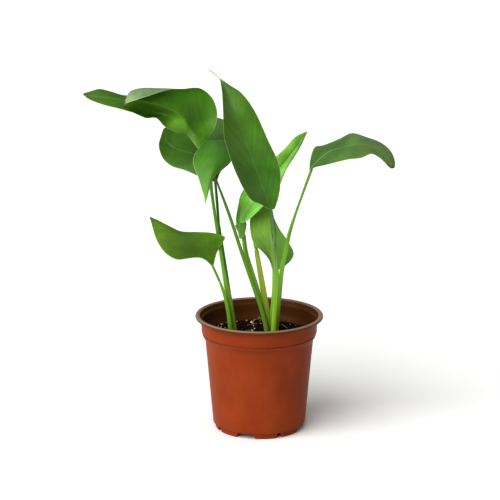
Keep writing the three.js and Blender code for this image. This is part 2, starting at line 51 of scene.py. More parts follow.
CAMERA_PLACE = (-0.011, -2.2, 0.779)
CAMERA_PITCH = -14.32  # degrees below the horizon
CAMERA_LENS = 138.6
FLOOR_SIZE = 40.0
WORLD_LIGHT = 0.5
KEY_AZIMUTH = -42  # degrees from the camera's side towards the left
KEY_ELEVATION = 33
KEY_STRENGTH = 4.2
KEY_SOFTNESS = 70  # degrees across, as a large soft box
PRINT_GAMMA = 0.76  # the deeper tones of a catalogue print, with the same white

# ---- Pot and soil -----------------------------------------------------------------------

POT_HEIGHT = 139
LIP_RADIUS = 76
COLLAR_RADIUS = 68.5  # the straight band under the lip
COLLAR_FOOT = 118  # height of the band's lower edge
BODY_TOP_RADIUS = 64.2
BODY_TOP = 108  # height where the tapered wall ends and the chamfer starts
BODY_BASE_RADIUS = 55.3
BODY_BASE = 7
INNER_TOP = 109.6  # the tapered wall's top and base on the inside
INNER_BASE = 8
FOOT_RADIUS = 52.5
FOOT_HEIGHT = 6.5
SHEET = 1.6  # the wall's thickness
POT_STEPS = 384
CHANNEL_RISE = 6.2  # drainage channels pressed up into the floor, between the feet
CHANNEL_INNER = 20  # radius where a channel ends
WIDE_CHANNEL = 15.5  # at its roof
NARROW_CHANNEL = 2.6
WIDE_FLANK = 5.2  # how far each side of a channel slopes out down to the ground
NARROW_FLANK = 2.8
FIRST_WIDE_ANGLE = -108.4  # degrees from +X, so that two feet face the front
DRAIN_HOLE_RADIUS = 3.5
DRAIN_HOLE_AT = 38

SOIL_TOP = 113
SOIL_RADIUS = 63.6
SOIL_CELLS = 170  # across the soil's surface
GAP = 0.3  # kept between the pot and the soil

# ---- Leaves -----------------------------------------------------------------------------
# stalk: points [x, y, z, width] from the soil up.
# ribs: cross sections of the blade from base to tip, each a point on the midrib, then the
# steps from it to the left and right edge, seen from above the leaf with the tip ahead.
# Where an edge rolls over, two more steps go to the middles of the left and right half.
# neck: the width of the stalk where a rolled blade starts, if it is wider than usual.

STALK_BURIED = 24
STALK_FLATNESS = 0.78  # depth over width
BLADE_THICKNESS = 0.42
RIB_DEPTH = 2.4  # blade and midrib together, at the leaf's base
TIP_HALF_WIDTH = 0.7
BASE_HALF_WIDTH = 1.4
ROUNDING = 0.2  # 0 folds a blade sharply at its midrib, 0.25 makes one smooth arch

LEAVES = {
    "tall": dict(
        stalk=[
            (17, -13, 118, 6.8), (19, -19, 158, 6.4), (20, -26, 194, 5.6), (18, -30, 225, 4.7),
            (17, -31, 250, 4.1),
        ],
        ribs=[
            [(14, -30, 273)],
            [(10, -33, 282), (-8, -5, -1), (8.5, -7, -3)],
            [(5, -40, 298), (-17, -10, -6), (18.5, -10, 5)],
            [(-5, -52, 328), (-22, -14, -3.5), (27.2, -14, 5)],
            [(-16, -62, 360), (-23.5, -15, 5), (25.5, -15, 4)],
            [(-27, -66, 391), (-14, -11, 4), (22.3, -13, 5)],
            [(-34, -65, 411), (-8, -5, 2), (14.8, -9, 5)],
            [(-40, -62, 425), (-3.5, -2, -1), (4.5, -4, 1)],
            [(-45, -59, 431)],
            [(-51, -56, 436)],
            [(-57, -53, 440)],
        ],
    ),
    "right": dict(
        stalk=[
            (20, -5, 118, 6.2), (23, -8, 158, 5.9), (26, -12, 193, 5.4), (31, -14, 220, 5.1),
            (36, -15, 245, 4.6), (48, -15, 282, 3.6),
        ],
        neck=4,
        ribs=[
            [(58, -16, 317)],
            [(61, -18, 322), (-2, 9, 6), (3, -10, 1)],
            [(69, -21, 331), (-5, 19, 10), (6, -19, -3)],
            [(80, -26, 341), (-5, 28, 2), (8, -22, -8)],
            [(95, -32, 347), (-3, 34, 3), (6, -25, -9)],
            [(110, -39, 352), (-3, 36, 6), (5, -24, -11)],
            [(125, -46, 352), (-2, 31, 4), (1, -19, -6)],
            [(137, -53, 348), (2, 25, 4), (-2, -13, -6)],
            [(144.6, -58, 341), (5, 16, 4), (-3, -8, -5)],
            [(149, -61, 334), (5, 9, 1), (-4, -5, -2)],
            [(151, -63, 329), (2, 1, 1), (-2, -1, 0)],
        ],
    ),
    "mid": dict(
        stalk=[(15, 1, 117, 5.7), (15.6, -1, 144, 5.2), (17.4, -3, 169, 4.9)],
        ribs=[
            [(17, -4, 192)],
            [(17, -2, 200), (12, -5, -1), (-5, -1, 5)],
            [(16, 2, 211), (22, -7, -4), (-12, -3, 4)],
            [(16, 7, 223), (24.2, -7, -7.5), (-22, -4, 1)],
            [(14, 13, 235), (18, -5, -6), (-24, -3, -1)],
            [(13, 20, 247), (11, -4, -8), (-24, -1, 0)],
            [(11, 27, 260), (6, -3, -8), (-20, 1, -2)],
            [(9, 33, 270), (4, -2, -5), (-12, 1, 0)],
            [(7, 38, 280)],
        ],
    ),
    "hidden": dict(
        stalk=[
            (11.2, 9, 116, 7.2), (9.2, 10, 139, 7.2), (4.3, 12, 168, 7), (-1.8, 18, 203, 5.6),
            (-6, 27, 228, 4.5),
        ],
        ribs=[
            [(-9, 38, 247)],
            [(-8, 42, 259), (-7, 1, 1), (8, 2, 1)],
            [(-7, 49, 275), (-11, 4, 3), (13, 5, 3)],
            [(-8, 60, 295), (-15, 4, 3), (19, 6, 2)],
            [(-10, 73, 314), (-18, 4, 3), (21, 6, 3)],
            [(-12, 86, 331), (-16, 2, 4), (16, 4, 3)],
            [(-14, 97, 345), (-8, 1, 3), (8, 2, 3)],
            [(-16, 107, 358)],
        ],
    ),
    "rolled": dict(
        stalk=[
            (9.5, -1, 118, 6.2), (5.5, 0, 137, 6.2), (-1.8, 1, 166, 6), (-10.6, 4, 194, 6),
            (-16, 6.5, 213, 6.1),
        ],
        neck=6.2,
        ribs=[
            [(-20, 11, 230), (-4, -2, 0), (-3, -6, 0), (-3, 0, 0), (2, -4, 0)],
            [(-20, 14, 237), (-5, -5, 2), (-5, -11, 1), (-4, 0, 1), (3, -8, 2)],
            [(-20, 16, 246), (-7, -7, 1), (-8, -17, 2), (-5, 0, 1), (4, -11, 1)],
            [(-19, 19, 253), (-8, -8, 2), (3, -21, -1), (-6, 0, 2), (3, -11, 2)],
            [(-14, 22, 260), (-11, -10, 8), (8, -23, 0), (-7, -1, 5), (4, -12, 2)],
            [(-4, 26, 271), (-17, -11, 12), (9, -22, -1), (-9, -1, 7), (4, -12, 3)],
            [(13, 33, 293), (-19.5, -11, 8), (8, -15, -8), (-10, -5, 3), (4, -9, -2)],
            [(27, 41, 311), (-16, -6, 4), (5, -7, -4.5), (-8, -5, 3), (3.4, -5, -1.2)],
            [(39, 49, 325), (-10, -4, 4.2), (2.6, -4, -5.4), (-5, -3.5, 2.6), (2, -3.6, -1.9)],
            [(49, 57, 337), (-6.3, -2, 5.2), (0.8, -2, -5.6), (-3, -2, 2.6), (0.9, -1.8, -2.4)],
            [(57, 64, 347)],
        ],
    ),
    "top_left": dict(
        stalk=[
            (9, -8, 118, 6.2), (3.6, -8, 144, 5.6), (-7.2, -9, 177, 4.9), (-20.8, -9, 217, 4.2),
            (-31.8, -7, 251, 3.7), (-39.6, -3, 273, 3.4), (-52.5, 6, 305, 3.2),
            (-64, 13, 331, 2.9),
        ],
        ribs=[
            [(-77, 19, 361)],
            [(-84, 22, 368), (-1, -7, -5), (3, 8, 7)],
            [(-100, 28, 377), (-5, -10, -6.8), (4, 14, 9)],
            [(-121, 33, 383), (-5, -12, -9), (4, 17, 9)],
            [(-143, 37, 387), (-4, -12, -10), (3, 17, 5)],
            [(-163, 40, 390), (-3, -11, -8.7), (2, 14, 3)],
            [(-179, 42, 392), (-2, -9, -7.7), (1, 12, 6)],
            [(-192, 43, 393), (-2, -6, -5), (3, 7, 8)],
            [(-201, 44, 394), (-1, -3, -3), (2, 3, 5)],
            [(-207.6, 44, 396)],
        ],
    ),
    "arching": dict(
        stalk=[
            (-33.6, -1, 118, 6.8), (-37, -1, 154, 5.8), (-42.8, -1, 196, 4.2),
            (-48, 0, 230, 3.8), (-52.6, 1, 262, 3.7), (-57.6, 3, 293, 3.4), (-65, 4, 318, 3),
        ],
        ribs=[
            [(-70, 4, 338)],
            [(-72, 1, 347), (-5, 4, -2), (10, 2, 2)],
            [(-75, -3, 356), (-10, 9, -1), (23, 6, 7), (-5, 4, -0.5), (10.5, 5, 3)],
            [(-82, -8, 367), (-15, 2, -7), (33, 14, 13), (-7.5, 0, -3), (13, 13, 5)],
            [(-87, -14, 377), (-22, -2, -9), (32, 20, 21), (-11, 4, -5), (12, 15, 9)],
            [(-99, -20, 387), (-20, 10, -10), (30, 21, 23), (-9, 18, -7), (16, 15, 13)],
            [(-113, -26, 394), (-17, 11, -16), (26, 16, 17), (-8, 25, -10), (14, 14, 12)],
            [(-126, -31, 399), (-12, 6, -16), (21, 4, 13.5), (-5, 23, -10), (12, 13, 12)],
            [(-136, -35, 402), (-10, 4, -14), (11.5, -7, 6.7), (-4, 17, -9), (4, 7, 12.8)],
            [(-145, -39, 401), (-7, 3, -10), (6, -10, 4), (-3, 7, -6), (-1, 2, 12)],
            [(-151, -42, 398), (-3, 2, -5.5), (2, -6, 3.5), (-1, 2, -2.5), (-0.5, -1, 7)],
            [(-154, -44, 396)],
        ],
    ),
    "front": dict(
        stalk=[
            (-30, -6, 120, 7.2), (-34.4, -6, 155, 6.2), (-42.4, -6, 197, 4.3),
            (-47.2, -5, 231, 3.7), (-52.4, -3, 263, 3.5), (-56.4, 1, 298, 3.2),
            (-55, 5, 327, 2.7),
        ],
        ribs=[
            [(-53, 3, 345)],
            [(-52, -5, 350), (10, 7, -1), (-10, 6, -2)],
            [(-51, -18, 345), (16, 9, -4), (-19, 9, -3)],
            [(-51, -32, 337), (19, 10, -5), (-25, 10, -3)],
            [(-52, -44, 328), (11, 7, -3), (-24, 9, -1)],
            [(-56, -54, 317), (4, 3, -1), (-14, 5, -2)],
            [(-59, -62, 306), (2, 1, -1), (-7, 2, -2)],
            [(-61, -67, 297), (2, 0, 0), (-2, 1, -1)],
            [(-62, -70, 290)],
        ],
    ),
    "back_left": dict(
        stalk=[
            (-30.4, 4, 117, 6.6), (-33.2, 4, 140, 6), (-37.6, 4, 174, 5), (-43.4, 5, 216, 3.9),
            (-47.6, 6, 246, 3.3), (-50, 9, 276, 3.3),
        ],
        ribs=[
            [(-51, 10, 298)],
            [(-55, 17, 307), (-8, -4, -8), (10, 3, 1)],
            [(-63, 29, 316), (-12, -7, -13), (30, 9, 1)],
            [(-74, 41, 323), (-15.5, -9, -16), (48, 15, 15)],
            [(-87, 51, 325), (-17, -9, -15.5), (49, 17, 33.5)],
            [(-98, 58, 327), (-17, -7, -9.5), (33, 18, 37)],
            [(-107, 63, 331), (-13, -4, 0), (15, 15, 32)],
            [(-112, 66, 341), (-5, -1, 2), (4, 7, 13)],
            [(-114, 70, 350)],
        ],
    ),
    "low_left": dict(
        stalk=[
            (-34, -12, 121, 5.8), (-36.4, -12, 143, 5), (-40.8, -11, 164, 3.8),
            (-45, -10, 177, 3.1), (-49.4, -8, 187, 2.9),
        ],
        ribs=[
            [(-55, -6, 200)],
            [(-59, -10, 210), (-4, -2, -2), (9, 2, 6)],
            [(-64, -14, 219), (-7, -5, -6), (21, 4, 10)],
            [(-70, -19, 228), (-12, -7, -14), (29, 8, 8.5)],
            [(-79, -25, 236), (-15.6, -8, -21.8), (23, 14, 5)],
            [(-90, -31, 241), (-14.8, -8, -20.8), (16, 16, 2)],
            [(-102, -37, 248), (-10.8, -6, -18.6), (11, 13, -2)],
            [(-112, -43, 257), (-7.7, -3, -13.5), (9, 9, -3)],
            [(-120, -47, 264), (-3, -1, -8), (6, 5, -2)],
            [(-125.6, -50, 269)],
        ],
    ),
}

# Looks of each leaf, matched to the real one. Colours: upper skin, its lighter veins, the
# underside and its veins, the stalk near the blade and near the soil. rib is how much of the
# pale midrib shows, groove how deep it lies, brown the length of the dry tip in millimetres.
# Painted light and shade: near and far multiply red, green and blue at the blade's base and
# tip, left and right in its two halves, to make those parts lighter or darker as the light
# fell on them. USUAL_LOOK holds what most leaves share.
EVEN = (1, 1, 1)
USUAL_LOOK = dict(
    under="567838", pale="7a9a60", brown=0, near=EVEN, far=EVEN, left=EVEN, right=EVEN
)
LOOKS = {
    "tall": dict(
        skin="497820", vein="619530", top="506c4a", foot="95bd42", rib=0.16, groove=1,
        near=(1, 1, 1.12), far=(1.35, 1.1, 1.6), left=(1.15, 1.02, 1.25), right=(1.03, 1.08, 0.85),
    ),
    "right": dict(
        skin="64864a", vein="7d9c67", top="6a9838", foot="86b93f", rib=0.9, groove=1.6, brown=2,
        near=(0.78, 0.92, 0.72), far=(1.25, 1.1, 1.1),
    ),
    "mid": dict(
        skin="649a34", vein="82ae50", under="78a740", pale="90b860", top="84b440", foot="92c04a",
        rib=0.5, groove=0.6,
        near=(1.05, 0.95, 1.15), far=(1.9, 1.6, 1.9), left=(0.62, 0.71, 0.6),
    ),
    "hidden": dict(skin="487424", vein="5e883c", top="94b048", foot="bec949", rib=0.3, groove=1),
    "rolled": dict(
        skin="92d354", vein="c7f2b2", under="78a83c", pale="98c468", top="75a32c", foot="88a340",
        rib=0.1, groove=0.3,
        near=(1.3, 1.2, 1.6), far=(0.8, 0.82, 0.8), left=(1.3, 1.15, 1.1),
    ),
    "top_left": dict(
        skin="49751f", vein="5d8632", top="46702a", foot="688e32", rib=0.7, groove=1, brown=2,
        near=(0.95, 1, 1), far=(1.15, 1.03, 1.2),
    ),
    "arching": dict(
        skin="629528", vein="7ca93b", under="aebab8", pale="b8c8b2", top="5c882e", foot="acc656",
        rib=0.2, groove=2, brown=2,
        near=(1.05, 1, 1.15), far=(0.68, 0.78, 0.55), left=(1.24, 1.14, 1.2),
        right=(0.86, 0.93, 0.72),
    ),
    "front": dict(
        skin="52862c", vein="699542", under="548438", top="50802c", foot="709830", rib=0,
        groove=0.4,
        near=(0.98, 0.98, 1.05), far=(1.5, 1.35, 1.6),
    ),
    "back_left": dict(
        skin="4d7826", vein="618a38", under="4c7830", pale="648c48", top="50802e", foot="64902f",
        rib=0.9, groove=0.8,
        near=(0.75, 0.82, 0.8), far=(1.3, 1.2, 1.4),
    ),
    "low_left": dict(
        skin="689520", vein="7fac2d", under="5c8030", pale="7a9850", top="648e2e", foot="6c9e34",
        rib=0.1, groove=0.5, brown=1,
        near=(0.92, 0.9, 1), far=(1.15, 1.02, 1.35),
    ),
}


# ---- Small tools ------------------------------------------------------------------------


def colour(code):
    """An sRGB hex colour as linear RGBA."""
    channels = [int(code[i : i + 2], 16) / 255 for i in (0, 2, 4)]
    linear = [c / 12.92 if c <= 0.04045 else ((c + 0.055) / 1.055) ** 2.4 for c in channels]
    return (*linear, 1)


def smooth(low, high, value):
    """Rises from 0 at low to 1 at high, with soft ends."""
    t = min(max((value - low) / (high - low), 0), 1)
    return t * t * (3 - 2 * t)


def add(nodes, kind, settings=None, **links):
    """Adds a shader node, such as Mix. A link name is a socket's name in lower case with _ for
    spaces, or input_N for the Nth socket. Its value is another node's socket or a plain
    value."""
    node = nodes.new("ShaderNode" + kind)
    for key, value in (settings or {}).items():
        setattr(node, key, value)
    for key, value in links.items():
        if key.startswith("input_"):
            socket = node.inputs[int(key[6:])]
        else:
            socket = next(s for s in node.inputs if s.name.lower().replace(" ", "_") == key)
        if isinstance(value, bpy.types.NodeSocket):
            node.id_data.links.new(value, socket)
        else:
            socket.default_value = value
    return node


def new_material(name):
    material = bpy.data.materials.new(name)
    material.use_nodes = True
    nodes = material.node_tree.nodes
    nodes.clear()
    return material, nodes


def finish_piece(name, bm, materials, slot, *replaced):
    """Turns a bmesh into a named piece that rides on the plant's body."""
    mesh = bpy.data.meshes.new(name)
    for face in bm.faces:
        face.smooth = True
    bm.to_mesh(mesh)
    bm.free()
    for material in materials:
        mesh.materials.append(material)
    piece = bpy.data.objects.new(name, mesh)
    bpy.context.scene.collection.objects.link(piece)
    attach(piece, "root")
    if replaced:
        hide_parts(*replaced)
    return piece


def on_curve(points, u):
    """The point at u, from 0 to 1, on the smooth curve through the points, and its slope."""
    place = u * (len(points) - 1)
    i = min(int(place), len(points) - 2)
    t = place - i
    a, b = points[i], points[i + 1]
    before = points[i - 1] if i else 2 * a - b
    after = points[i + 2] if i + 2 < len(points) else 2 * b - a
    leave, arrive = (b - before) / 2, (after - a) / 2
    tt = t * t
    ttt = tt * t
    point = (
        a * (2 * ttt - 3 * tt + 1)
        + leave * (ttt - 2 * tt + t)
        + b * (3 * tt - 2 * ttt)
        + arrive * (ttt - tt)
    )
    slope = (
        a * (6 * tt - 6 * t)
        + leave * (3 * tt - 4 * t + 1)
        + b * (6 * t - 6 * tt)
        + arrive * (3 * tt - 2 * t)
    )
    return point, slope


def wrapped_skin(around, along, place, attributes=(), two_faced=False):
    """A closed skin from a flat grid whose left and right sides meet. place gives the point of
    each grid corner, from how far it is round and along, and the value of each attribute. A
    two faced skin has another material on its second half."""
    bm = bmesh.new()
    bmesh.ops.create_grid(bm, x_segments=around, y_segments=along, size=0.5)
    for face in bm.faces:
        face.material_index = int(two_faced and face.calc_center_median().x > 0)
    layers = [bm.verts.layers.float_vector.new(name) for name in attributes]
    seam = [v for v in bm.verts if abs(v.co.x) > 0.4999]
    for v in bm.verts:
        v.co, *values = place(v.co.x + 0.5, v.co.y + 0.5)
        for layer, value in zip(layers, values):
            v[layer] = value
    bmesh.ops.remove_doubles(bm, verts=seam, dist=1e-7)
    rims = [e for e in bm.edges if e.is_boundary]
    bmesh.ops.holes_fill(bm, edges=rims, sides=0)
    return bm


# ---- Blades -----------------------------------------------------------------------------

ROWS_PER_RIB = 14
HALF_ACROSS = 26  # faces across half of one side of a blade
COLUMN_EASE = 0.7  # draws the columns of faces towards the midrib and the margin
VEIN_SLANT = 2.2  # how far a side vein runs forward for each step outwards
RIPPLE_SPACING = 6.5  # between the stronger side veins
RIPPLE_DEPTH = 0.015
RIPPLE_SHIFT = 0.35  # radians, forward in one half of the blade and back in the other
KEEL_HALF_WIDTH = 1.7
GROOVE_DEPTH = 0.4
GROOVE_HALF_WIDTH = 0.9


def rib_points(ribs, i):
    """The rib's points on the five rails: left edge, left middle, midrib, right middle and
    right edge, and the direction that stands on the upper face."""
    mid, *steps = [Vector(p) for p in ribs[i]]
    before = Vector(ribs[max(i - 1, 0)][0])
    after = Vector(ribs[min(i + 1, len(ribs) - 1)][0])
    along = after - before
    if not steps:
        nearest = i or 1
        while len(ribs[nearest]) == 1:
            nearest -= 1
        start, end = [Vector(p) for p in ribs[nearest][-2:]]
        across = end - start
        across -= across.project(along)
        to_right = across.normalized() * (TIP_HALF_WIDTH if i else BASE_HALF_WIDTH)
        steps = [-to_right, to_right]
    face = (steps[1] - steps[0]).cross(along).normalized()
    bend = (steps[0] + steps[1]).dot(face) / 2
    halfway = steps[2:] or [step / 2 - face * (ROUNDING * bend) for step in steps]
    return [mid + steps[0], mid + halfway[0], mid, mid + halfway[1], mid + steps[1]], face


def blade_rows(ribs):
    """Cross sections of the blade from base to tip: the points and slopes of the five rails,
    how far along the midrib the section lies, and the widths of its left and right half."""
    sections = [rib_points(ribs, i)[0] for i in range(len(ribs))]
    rails = [[section[j] for section in sections] for j in range(5)]
    count = ROWS_PER_RIB * (len(ribs) - 1)
    rows = []
    run = 0
    for k in range(count + 1):
        points, slopes = zip(*[on_curve(rail, k / count) for rail in rails])
        if rows:
            run += (points[2] - rows[-1]["points"][2]).length
        widths = [half_width(*points[2::-1]), half_width(*points[2:])]
        rows.append({"points": points, "slopes": slopes, "run": run, "widths": widths})
    return rows


def blend(centre, middle, edge, t):
    """The place at t, from 0 to 1, on the arch over half a blade."""
    return centre * ((1 - t) * (1 - 2 * t)) + middle * (4 * t * (1 - t)) + edge * (t * (2 * t - 1))


def half_width(centre, middle, edge):
    """The length of that arch, in eight short steps."""
    steps = [blend(centre, middle, edge, k / 8) for k in range(9)]
    return sum((b - a).length for a, b in zip(steps, steps[1:]))


def blade(name, ribs, groove_share, materials):
    """A blade: two skins that close at the margins, with a keel beneath the midrib, a groove
    on top of it, and side veins that ripple both faces."""
    rows = blade_rows(ribs)
    last = len(rows) - 1
    length = rows[-1]["run"]

    def place(turn, u):
        row = rows[round(u * last)]
        under = turn > 0.5
        x = 4 * turn - 1 if turn <= 0.5 else 3 - 4 * turn
        t = abs(x)
        t -= COLUMN_EASE * math.sin(2 * math.pi * t) / (2 * math.pi)
        sign = -1 if x < 0 else 1
        order = (2, 1, 0) if x < 0 else (2, 3, 4)
        points = [row["points"][j] for j in order]
        point = blend(*points, t)
        along = blend(*[row["slopes"][j] for j in order], t)
        over = points[0] * (4 * t - 3) + points[1] * (4 - 8 * t) + points[2] * (4 * t - 1)
        if t < 0.05:  # both halves share one direction at the midrib
            over = (row["points"][3] - row["points"][1]) * sign
        face = (over * sign).cross(along).normalized()
        width = row["widths"][0 if x < 0 else 1]
        across = t * width
        run = row["run"]
        fade = 1 - run / length  # the midrib thins out towards the tip
        skew = run - VEIN_SLANT * across
        ripple = math.sin(2 * math.pi * skew / RIPPLE_SPACING + RIPPLE_SHIFT * sign)
        ripple *= RIPPLE_DEPTH * smooth(0.8, 5, across) * smooth(0, 0.12, fade)
        groove_half = GROOVE_HALF_WIDTH * (0.3 + 0.7 * fade)
        groove = GROOVE_DEPTH * groove_share * fade * math.exp(-((across / groove_half) ** 2))
        lift = ripple - groove
        if under:
            keel_half = KEEL_HALF_WIDTH * (0.25 + 0.75 * fade)
            keel_depth = (RIB_DEPTH - BLADE_THICKNESS) * (0.12 + 0.88 * fade)
            keel = keel_depth * math.exp(-((across / keel_half) ** 2))
            thickness = BLADE_THICKNESS * math.sqrt(max(1 - t**10, 0))
            lift = ripple - thickness - keel * (1 - t**6)
        elif t > 0.999:  # the margin, which both faces share
            lift = ripple
        point = (point + face * lift) * MM
        vein = Vector((sign * across, skew, run)) * MM
        reach = Vector((sign * t, (1 - t) * width * MM, (length - run) * MM))
        return point, vein, reach

    bm = wrapped_skin(4 * HALF_ACROSS, last, place, ("vein", "reach"), two_faced=True)
    return finish_piece(f"{name}_blade", bm, materials, f"leaf_{name}_blade", f"leaf_{name}_blade")


# ---- Stalks -----------------------------------------------------------------------------

STALK_AROUND = 28
STALK_ROWS = 90
STALK_INTO_BLADE = 3.0
STALK_GROOVE = 0.16  # its depth, as a share of half the stalk
STALK_GROOVE_HALF = 0.45  # radians round the stalk


def stalk(name, leaf, material):
    """A stalk with a shallow groove on the side of the blade's upper face. It runs from its
    hole in the soil into the keel of the blade."""
    (_, _, base, _, base_right), face = rib_points(leaf["ribs"], 0)
    onward = (Vector(leaf["ribs"][1][0]) - base).normalized()
    points = [Vector(p[:3]) for p in leaf["stalk"]]
    widths = [p[3] for p in leaf["stalk"]]
    points.insert(0, points[0] - Vector((0, 0, STALK_BURIED)))
    widths.insert(0, widths[0] * 0.9)
    points.append(base + onward * STALK_INTO_BLADE - face * (RIB_DEPTH * 0.55))
    widths.append(leaf.get("neck", 2 * BASE_HALF_WIDTH))
    blade_side = (base_right - base).normalized()
    knots = len(points) - 1

    def place(turn, u):
        centre, slope = on_curve(points, u)
        along = slope.normalized()
        plain_side = Vector((0, -1, 0)).cross(along).normalized()
        twist = smooth(0.45, 1, u)  # the upper half turns to meet the blade
        side = plain_side.lerp(blade_side - along * blade_side.dot(along), twist).normalized()
        outward = along.cross(side).normalized()
        at = u * knots
        i = min(int(at), knots - 1)
        width = widths[i] + (widths[i + 1] - widths[i]) * (at - i)
        angle = 2 * math.pi * turn
        depth = width * STALK_FLATNESS
        groove = math.exp(-(((angle - math.pi / 2) / STALK_GROOVE_HALF) ** 2))
        groove *= STALK_GROOVE * smooth(0.15, 0.5, u)
        point = centre + side * (math.cos(angle) * width / 2)
        point += outward * (math.sin(angle) * depth / 2 * (1 - groove * 2))
        run = (point - points[0]).length
        return point * MM, Vector((turn, run * MM, u))

    bm = wrapped_skin(STALK_AROUND, STALK_ROWS, place, ("vein",))
    return finish_piece(f"{name}_stalk", bm, [material], f"leaf_{name}_stalk", f"leaf_{name}_stalk")


# ---- Pot --------------------------------------------------------------------------------


def wall_radius(z, base, top):
    """The outer radius of the tapered wall at a height between its base and its top."""
    return BODY_BASE_RADIUS + (BODY_TOP_RADIUS - BODY_BASE_RADIUS) * (z - base) / (top - base)


def pot_profile():
    """The pot's wall from the middle of its underside, up the outside, over the rolled lip
    and down the inside to the middle of its floor."""
    rings = range(2, 50, 2)
    under = [(0, 0)] + [(r, 0) for r in rings]
    foot = [
        (FOOT_RADIUS - 0.8, 0),
        (FOOT_RADIUS - 0.25, 0.2),
        (FOOT_RADIUS, 0.8),
        (FOOT_RADIUS + 0.1, 2.5),
        (FOOT_RADIUS + 0.2, 4.2),
        (FOOT_RADIUS + 0.3, FOOT_HEIGHT - 0.5),
        (FOOT_RADIUS + 0.5, FOOT_HEIGHT - 0.1),
        (BODY_BASE_RADIUS - 0.7, FOOT_HEIGHT),
        (BODY_BASE_RADIUS - 0.05, FOOT_HEIGHT + 0.4),
        (BODY_BASE_RADIUS + 0.1, FOOT_HEIGHT + 1.2),
    ]
    heights = (20, 35, 50, 65, 80, 95, 104, BODY_TOP - 0.4)
    body = [(wall_radius(z, BODY_BASE, BODY_TOP), z) for z in heights]
    collar = [
        (BODY_TOP_RADIUS + 0.3, BODY_TOP + 1),
        (BODY_TOP_RADIUS + 1, BODY_TOP + 2.3),
        (COLLAR_RADIUS - 2, COLLAR_FOOT - 5.4),
        (COLLAR_RADIUS - 1.3, COLLAR_FOOT - 4.2),
        (COLLAR_RADIUS - 0.85, COLLAR_FOOT - 2.6),
        (COLLAR_RADIUS - 0.8, COLLAR_FOOT - 2),
        (COLLAR_RADIUS - 0.9, COLLAR_FOOT - 1.7),
        (COLLAR_RADIUS - 1.35, COLLAR_FOOT - 1.4),
        (COLLAR_RADIUS - 1.25, COLLAR_FOOT - 0.9),
        (COLLAR_RADIUS - 0.3, COLLAR_FOOT - 0.4),
        (COLLAR_RADIUS, COLLAR_FOOT + 0.2),
        (COLLAR_RADIUS + 0.2, COLLAR_FOOT + 4),
        (COLLAR_RADIUS + 0.4, COLLAR_FOOT + 10),
        (COLLAR_RADIUS + 0.6, POT_HEIGHT - 6.6),
        (COLLAR_RADIUS + 1.2, POT_HEIGHT - 5.4),
        (COLLAR_RADIUS + 2.4, POT_HEIGHT - 4.6),
    ]
    half_roll, half_rise = 2.1, 2  # the rolled lip is a little wider than it is high
    middle = (LIP_RADIUS - half_roll, POT_HEIGHT - half_rise)
    lip = [
        (middle[0] + half_roll * math.cos(a), middle[1] + half_rise * math.sin(a))
        for a in [math.radians(d) for d in range(-80, 101, 18)]
    ]
    inside = [
        (LIP_RADIUS - 4.4, POT_HEIGHT - 0.3),
        (LIP_RADIUS - 5.5, POT_HEIGHT - 1.1),
        (LIP_RADIUS - 6, POT_HEIGHT - 2.4),
        (LIP_RADIUS - 6.2, POT_HEIGHT - 4.6),
        (LIP_RADIUS - 6.6, POT_HEIGHT - 5.4),
        (COLLAR_RADIUS - SHEET + 0.5, POT_HEIGHT - 6.4),
        (COLLAR_RADIUS - SHEET + 0.4, COLLAR_FOOT + 13.5),
        (COLLAR_RADIUS - SHEET + 0.2, COLLAR_FOOT + 8),
        (COLLAR_RADIUS - SHEET - 0.1, COLLAR_FOOT + 2.5),
        (COLLAR_RADIUS - SHEET - 1.2, COLLAR_FOOT - 0.4),
    ]
    inside += [
        (wall_radius(z, INNER_BASE, INNER_TOP) - SHEET, z) for z in (INNER_TOP, 80, 50, 25, 9)
    ]
    inside += [(FOOT_RADIUS + 0.3 - SHEET, FOOT_HEIGHT + 0.6), (FOOT_RADIUS - SHEET, SHEET)]
    floor = [(r, SHEET) for r in reversed(rings)] + [(0, SHEET)]
    return under + foot + body + collar + lip + inside + floor


def channel_rise(x, y):
    """How far the floor is pressed up at a place: eight channels, wide and narrow by turns."""
    radius = math.hypot(x, y)
    if radius < CHANNEL_INNER - 3:
        return 0
    turn = math.degrees(math.atan2(y, x)) - FIRST_WIDE_ANGLE
    k = round(turn / 45)
    aside = abs(radius * math.sin(math.radians(turn - 45 * k)))
    half, flank = (WIDE_CHANNEL, WIDE_FLANK) if k % 2 == 0 else (NARROW_CHANNEL, NARROW_FLANK)
    rise = 1 - smooth(half / 2, half / 2 + flank, aside)
    return CHANNEL_RISE * rise * smooth(CHANNEL_INNER - 3, CHANNEL_INNER, radius)


def pot(clay, inner):
    """The wall spun round, with the channels pressed up and the drain holes cut. The inside
    and the lip have their own colour."""
    bm = bmesh.new()
    start = Matrix.Rotation(math.radians(FIRST_WIDE_ANGLE), 3, "Z")
    verts = [bm.verts.new(start @ Vector((r, 0, z)) * MM) for r, z in pot_profile()]
    edges = [bm.edges.new(pair) for pair in zip(verts, verts[1:])]
    bmesh.ops.spin(
        bm, geom=verts + edges, axis=(0, 0, 1), angle=2 * math.pi, steps=POT_STEPS, use_merge=True
    )
    bmesh.ops.remove_doubles(bm, verts=bm.verts, dist=1e-6)
    bmesh.ops.recalc_face_normals(bm, faces=bm.faces)
    for v in bm.verts:
        x, y, z = v.co / MM
        rise = channel_rise(x, y)
        if z < SHEET + 0.01 and math.hypot(x, y) < FOOT_RADIUS - 1:
            v.co.z = (z + rise) * MM
        elif z < CHANNEL_RISE:
            v.co.z = (rise + z * (1 - rise / CHANNEL_RISE)) * MM
    for face in bm.faces:
        centre = face.calc_center_median() / MM
        outward = face.normal.x * centre.x + face.normal.y * centre.y
        inside = outward < 0 or face.normal.z > 0.3
        face.material_index = int(inside or centre.z > POT_HEIGHT - 4.2)
    cut_drain_holes(bm)
    return finish_piece("nursery_pot", bm, [clay, inner], "pot", "pot")


